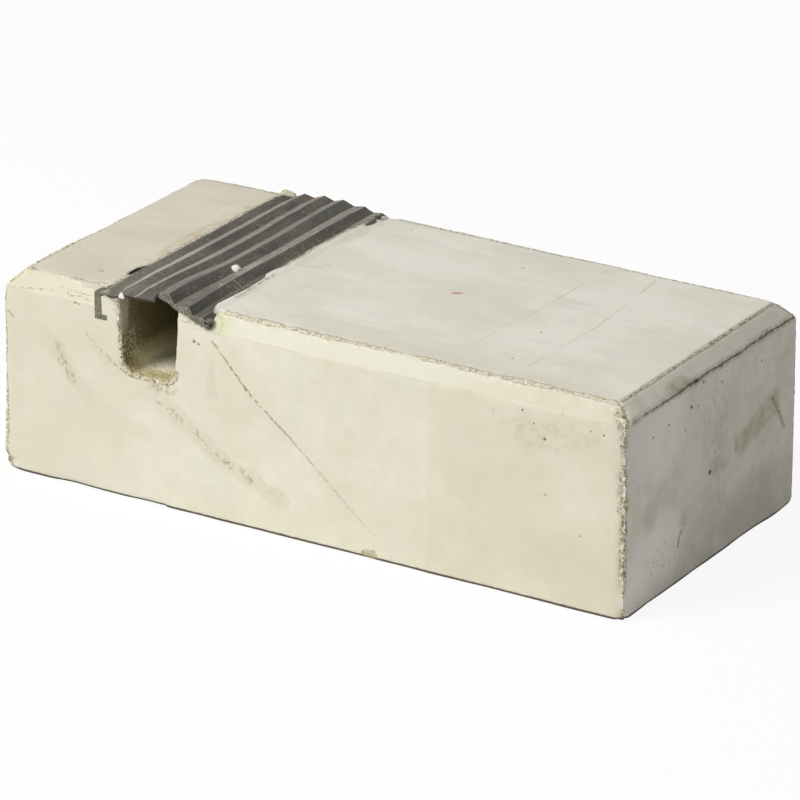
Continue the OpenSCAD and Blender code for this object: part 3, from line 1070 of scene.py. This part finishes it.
# %% The strip's finish
rubber = Finish("dusty_rubber")
x, y = rubber.x, rubber.y
lay, noise, patch, path = rubber.lay, rubber.noise, rubber.patch, rubber.path
across = rubber.mark("across") * 6
side = across.fraction() + (noise(1.6, 3, 44.0) - 0.5) * 0.07
flap = rubber.mark("flap")
streak = noise(7, 4, 9.0, stretch=(1, 0.12, 1), roughness=0.6)
cloud = noise(15, 4, 4.0, stretch=(1, 0.5, 1), roughness=0.6)
dust = noise(1.5, 4, 2.0, stretch=(1, 0.7, 1), roughness=0.7)
grain = noise(0.9, 3, 12.0, roughness=0.8)
speckled = noise(22, 3, 31.0, stretch=(1, 0.4, 1)).rise(0.42, 0.58)
front_left = x.rise(86, 80) * y.rise(34, -2)
flank_start = front_left * 0.4 + 0.01
narrow = across.rise(2.9, 2.95) * across.rise(3.6, 3.55) * y.rise(8, 24) * 0.07
left_flank = (side - flank_start).rise(0.0, 0.04) * (side + narrow).rise(0.505, 0.485) * (1 - flap * 0.6)
left_flank = left_flank * (1 - across.rise(4.98, 5.02) * y.rise(132, 126) * 0.65)
crest = (side - 0.49).size().rise(0.05, 0.02) * across.rise(0.8, 1.0)
crest = crest * (1 - flap * x.rise(62, 58))
# dark is a shaded copy of the rubber for the right flanks, and light is a lit copy for the left flanks:
# painted shade and painted light, each with its own dust and specks.
dark = rubber.blend((62, 59, 52), (84, 81, 70), (cloud * 0.6 + streak * 0.4).rise(0.38, 0.62))
dark = dark.lay((94, 82, 74), noise(11, 3, 7.0, stretch=(1, 0.4, 1)).rise(0.5, 0.62) * 0.7)
dark = dark.lay((58, 56, 50), noise(17, 3, 71.0, stretch=(1, 0.3, 1)).rise(0.5, 0.62) * 0.55)
dark = dark.lay((126, 123, 106), (dust + (cloud - 0.5) * 0.5).rise(0.54, 0.76) * 0.5)
dark = dark.lay((40, 38, 32), grain.rise(0.42, 0.3) * speckled * 0.7)
dark = dark.lay((138, 135, 122), grain.rise(0.6, 0.74) * speckled * 0.6)
dark = dark.lay((48, 47, 40), x.rise(90, 94) * y.rise(70, 30) * 0.4)
light = rubber.blend((112, 109, 100), (140, 137, 124), (dust * 0.4 + streak * 0.6).rise(0.38, 0.62))
light = light.lay((150, 149, 130), x.rise(76, 62) * dust.rise(0.3, 0.6) * 0.6)
light = light.lay((174, 171, 157), x.rise(84, 72) * y.rise(74, 58) * dust.rise(0.2, 0.6) * 0.8)
# Painted shade on the left flanks where the ribs curl down at the front, round the tear.
light = light.lay((92, 89, 82), x.rise(80, 98) * y.rise(46, 20) * 0.65)
light = light.lay((170, 167, 152), patch(x, y, (100.5, 55), (5, 14)) * 0.5)
light = light.lay((96, 94, 86), grain.rise(0.44, 0.32) * 0.6)
rubber.colour = rubber.blend(dark, light, left_flank)
dusty = x.rise(88, 68) * y.rise(74, 50) * dust.rise(0.3, 0.62)
lay((124, 121, 107), dusty * 0.6 * (1 - left_flank))
lay((90, 85, 79), flap * x.rise(59, 61) * 0.6)
# A pale line along each crest: worn dust with a painted highlight.
lay((178, 176, 162), crest * streak.rise(0.3, 0.6) * (front_left * 0.9 + 0.3))
fleck = noise(2.1, 5, 23.0, stretch=(1, 0.6, 1), roughness=0.75)
cluster = noise(13, 3, 81.0, stretch=(1, 0.4, 1)).rise(0.44, 0.62) * 0.75 + 0.25
bright = (grain * 0.5 + fleck * 0.5).rise(0.53, 0.63) * cluster
lay((192, 189, 174), bright * (left_flank * 0.5 + 0.4))
lay((26, 24, 18), (grain * 0.4 + fleck * 0.6).rise(0.46, 0.36) * cluster * 0.5)
corner_dust = patch(x, y, (57, -0.5), (4.5, 4)) * fleck.rise(0.3, 0.55)
lay((160, 156, 140), corner_dust * 0.8)
specks = rubber.spots(3.1, 0.36, 0.3) * noise(9, 2, 91.0).rise(0.48, 0.6)
specks = specks.most(rubber.spots(1.5, 0.3, 0.3, 5.0) * cluster * speckled)
lay((190, 188, 176), specks * 0.7)
cut = rubber.mark("cut_end")
grime = noise(1.1, 3, 5.0).rise(0.35, 0.65)
lay(rubber.blend((92, 90, 76), (140, 137, 118), grime), cut.rise(0.85, 0.97))
rim = cut.rise(0.45, 0.65) * cut.rise(0.98, 0.9) * x.rise(85, 88)
lay((176, 174, 158), rim * (grime * 0.4 + 0.6))
flap_end = rubber.mark("flap_end")
# The flap's front end is painted dark, as a painted shadow along its lower edge.
lay((58, 52, 36), flap_end.rise(0.9, 0.98))
# The tear is painted near black, as the trough's shade seen through it.
lay((24, 21, 13), rubber.mark("tear_shade").rise(0.15, 0.6))
rust = patch(x, y, (79.5, 145), (3.4, 9)) * dust.rise(0.35, 0.6)
lay((116, 88, 60), rust * 0.7)
lay((156, 106, 26), patch(x, y, (77.2, 150.4), (2.8, 2.6)).rise(0.0, 0.6) * 0.9)
crease = path(x + dust * 3, y + fleck * 5, [(100, 40.5), (104, 39.5), (107, 40.5), (112, 38)], 0.6)
lay((150, 146, 134), crease * 0.7)
ragged = noise(3.2, 4, 17.0, roughness=0.7) * 2.4 - 1.2
# A painted shadow along the strip's left edge, in the gap to the mortar, wider at the back and beside the
# slot.
wide_gap_shade = y.rise(116, 124) * y.rise(152, 148) * 0.9
wide_gap_shade = wide_gap_shade + patch(x, y, (55, 30), (9, 8.5)).rise(0.0, 0.4) * 1.1
gap_shade = (x - 56.75 - ragged * 0.5 - wide_gap_shade).rise(0.35, -0.1)
lay((34, 30, 18), gap_shade * (wide_gap_shade * 0.45 + 0.5) * y.rise(2, 8))
# A painted shadow in the hollow beside the strip's back right corner, where the mortar has broken off.
hollow = patch(x + ragged * 0.4, y, (113.2, 147.3), (2.6, 1.9)).rise(0.1, 0.5)
lay((46, 43, 30), hollow * 0.9)
lay((46, 46, 48), y.rise(STRIP_BACK - 1.6, STRIP_BACK - 0.6) * 0.7)
height = dust * 0.3 + specks * 0.3 + grime * cut * 0.3 + streak * 0.3 - crease * 0.3 + grain * 0.15
rubber_finish = rubber.shine(0.62, height, specular=0.35)
strip.data.materials.append(rubber_finish)

# %% [markdown]
# ## Small things on the strip
# Two dabs of white plaster have dried on the strip, and the end of the right leg, which was never cast in,
# has rolled up beside the front corner. A dab starts as a sphere whose underside is pressed flat, and
# lumps take away its roundness. The roll starts as a narrow flat grid that is spun round a line along
# the strip. Then it is drawn in as it turns, and pressed flatter.

# %% Two dabs of plaster and the rolled end of the leg
def plaster_dab(name, place, radii, taper):
    """A lump of plaster that stands on place. Its top is narrower by taper, from 0 to 1."""
    dab = mortar_lump(name, (0, 0, 0), radii)
    points = read_points(dab)
    points[:, 2] = np.maximum(points[:, 2], -0.35 * radii[2])
    rise = (points[:, 2] / radii[2] + 0.35) / 1.35
    points[:, :2] *= (1 - taper * rise)[:, None]
    points *= (1 + 0.3 * lumps(points, 1.7, 4.4) + 0.16 * lumps(points, 0.8, 1.9))[:, None]
    write_points(dab, points + place)
    choose(dab)
    bpy.ops.object.shade_smooth_by_angle(angle=math.radians(40))
    return dab


def rolled_sheet(name, middle, radius, thickness, length, turn):
    """A rolled-up end of the sheet, of a length along Y. The roll tightens as it turns, in degrees."""
    bpy.ops.object.select_all(action="DESELECT")
    place = (middle[0] + radius - thickness / 2, middle[1], middle[2])
    bpy.ops.mesh.primitive_grid_add(x_subdivisions=2, y_subdivisions=8, size=1, location=metres(*place))
    roll = bpy.context.object
    roll.name = name
    roll.scale = Vector((thickness, length, 1)) * MM
    bpy.ops.object.transform_apply(location=True, rotation=True, scale=True)
    bpy.ops.object.mode_set(mode="EDIT")
    bpy.ops.mesh.select_all(action="SELECT")
    bpy.ops.mesh.spin(steps=20, angle=math.radians(turn), center=metres(*middle), axis=(0, 1, 0))
    bpy.ops.mesh.select_all(action="SELECT")
    bpy.ops.mesh.remove_doubles(threshold=0.00001)
    bpy.ops.mesh.normals_make_consistent(inside=False)
    bpy.ops.object.mode_set(mode="OBJECT")
    points = read_points(roll) - middle
    angle = np.degrees(np.arctan2(-points[:, 2], points[:, 0])) % 360
    points[:, ::2] *= (1 - 0.35 * angle / 360)[:, None]
    points *= (1.45, 1, 0.75)
    at_front = points[:, 1] < 0.2 - length / 2
    points += np.stack([lumps(points, 2.0, shift) for shift in (1.0, 5.0, 9.0)], axis=1) * 0.25
    write_points(roll, points + middle)
    write_mark(roll, "cut_end", at_front)
    write_mark(roll, "across", np.full(len(points), 0.24))
    choose(roll)
    bpy.ops.object.shade_smooth_by_angle(angle=math.radians(40))
    return roll


rolled_leg = rolled_sheet("rolled_leg", (113.9, 0.4, 96.6), 1.75, 0.75, 4.6, 300)
rolled_leg.data.materials.append(rubber_finish)
plaster = Finish("white_plaster")
chalk = plaster.noise(1.2, 3, 1.0).rise(0.3, 0.7)
plaster.colour = plaster.blend((222, 219, 210), (242, 240, 235), chalk)
plaster_finish = plaster.shine(0.85, chalk, bump_depth=0.2)
dabs = [
    plaster_dab("plaster_dab", (96, 51, 102.6), (2.7, 2.6, 1.9), 0.15),
    plaster_dab("plaster_drip", (68.6, -2.7, 101.2), (1.8, 1.2, 2.0), 0.75),
]
for dab in dabs:
    dab.data.materials.append(plaster_finish)


# %% Each piece stands for its construction solid
for piece, node, slot in ((block, "concrete_block", "concrete"), (strip, "cover_strip", "cover")):
    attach(piece, "root")
    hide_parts(node)
for dab in dabs:
    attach(dab, "root")
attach(rolled_leg, "root")
print("pieces:", [piece.name for piece in (block, strip, rolled_leg, *dabs)])

# %% [markdown]
# ## The studio and the camera
# One big soft lamp stands up on the left, so that the top is the lightest face and the right end the
# greyest. The floor and the world are to look white without lighting the object from all sides. So they
# are white only to the rays that come from the camera or from a gloss, and the world is dimmer to all
# others. The floor keeps a tenth of its plain surface, which is enough to show the object's shadow.

# %% A white room
FLOOR_SIZE = 12
FLOOR_WHITE = 0.9
WORLD_LIGHT = 0.33


def looked_at(nodes):
    """1 for a ray from the camera or from a gloss, and 0 for the light that falls on the object."""
    from_camera = nodes.node("LightPath", output="Is Camera Ray")
    return from_camera.most(Amount(nodes, from_camera.socket.node.outputs["Is Glossy Ray"]))


bpy.ops.object.select_all(action="DESELECT")
bpy.ops.mesh.primitive_plane_add(size=FLOOR_SIZE, location=(0, 0, 0))
floor = bpy.context.object
floor.name = "floor"
paper = bpy.data.materials.new("white_paper")
floor.data.materials.append(paper)
paper_nodes = Nodes(paper)
matt = paper_nodes.node("BsdfDiffuse", {}, {"Color": (0.9, 0.9, 0.9, 1)})
glow = paper_nodes.node("Emission", {}, {"Strength": 1.0})
mixed = paper_nodes.node("MixShader", {}, {0: looked_at(paper_nodes) * FLOOR_WHITE, 1: matt, 2: glow})
paper_nodes.node("OutputMaterial", {}, {"Surface": mixed})
paper_nodes.count()

world = bpy.data.worlds.new("studio")
bpy.context.scene.world = world
world_nodes = Nodes(world)
level = {"Value": looked_at(world_nodes), "To Min": WORLD_LIGHT, "To Max": 1.0}
level = world_nodes.node("MapRange", {}, level)
background = world_nodes.node("Background", {}, {"Color": (1, 1, 1, 1), "Strength": level})
world_nodes.node("OutputWorld", {}, {"Surface": background})
world_nodes.count()

# %% The lamp
LAMP_WAY = Vector((-0.41, -0.55, 0.745)).normalized()
LAMP_AWAY = 2.6
lamp_data = bpy.data.lights.new("key", "AREA")
lamp_data.shape = "DISK"
lamp_data.size = 1.3
lamp_data.energy = 54
lamp = bpy.data.objects.new("key", lamp_data)
bpy.context.scene.collection.objects.link(lamp)
lamp.location = Vector((0.0, 0.0, 0.05)) + LAMP_WAY * LAMP_AWAY
lamp.rotation_euler = LAMP_WAY.to_track_quat("Z", "Y").to_euler()
print("lamp at", lamp.location)

# %% The camera
CAMERA_PLACE = metres(1375.3, -1898.3, 983.5)
turn, tilt, lean = [math.radians(angle) for angle in (31.413, 22.091, 0.257)]
back = Vector((math.sin(turn) * math.cos(tilt), -math.cos(turn) * math.cos(tilt), math.sin(tilt)))
level_right = (-back).cross(Vector((0, 0, 1))).normalized()
level_up = level_right.cross(-back)
right = math.cos(lean) * level_right + math.sin(lean) * level_up
up = -math.sin(lean) * level_right + math.cos(lean) * level_up
camera_data = bpy.data.cameras.new("camera")
camera_data.lens = 242.75
camera_data.sensor_width = 36
camera_data.clip_end = 50
camera = bpy.data.objects.new("camera", camera_data)
bpy.context.scene.collection.objects.link(camera)
facing = Matrix((right, up, back)).transposed().to_4x4()
camera.matrix_world = Matrix.Translation(CAMERA_PLACE) @ facing
bpy.context.scene.camera = camera
bpy.context.scene.view_settings.view_transform = "Standard"
print("camera at", CAMERA_PLACE)
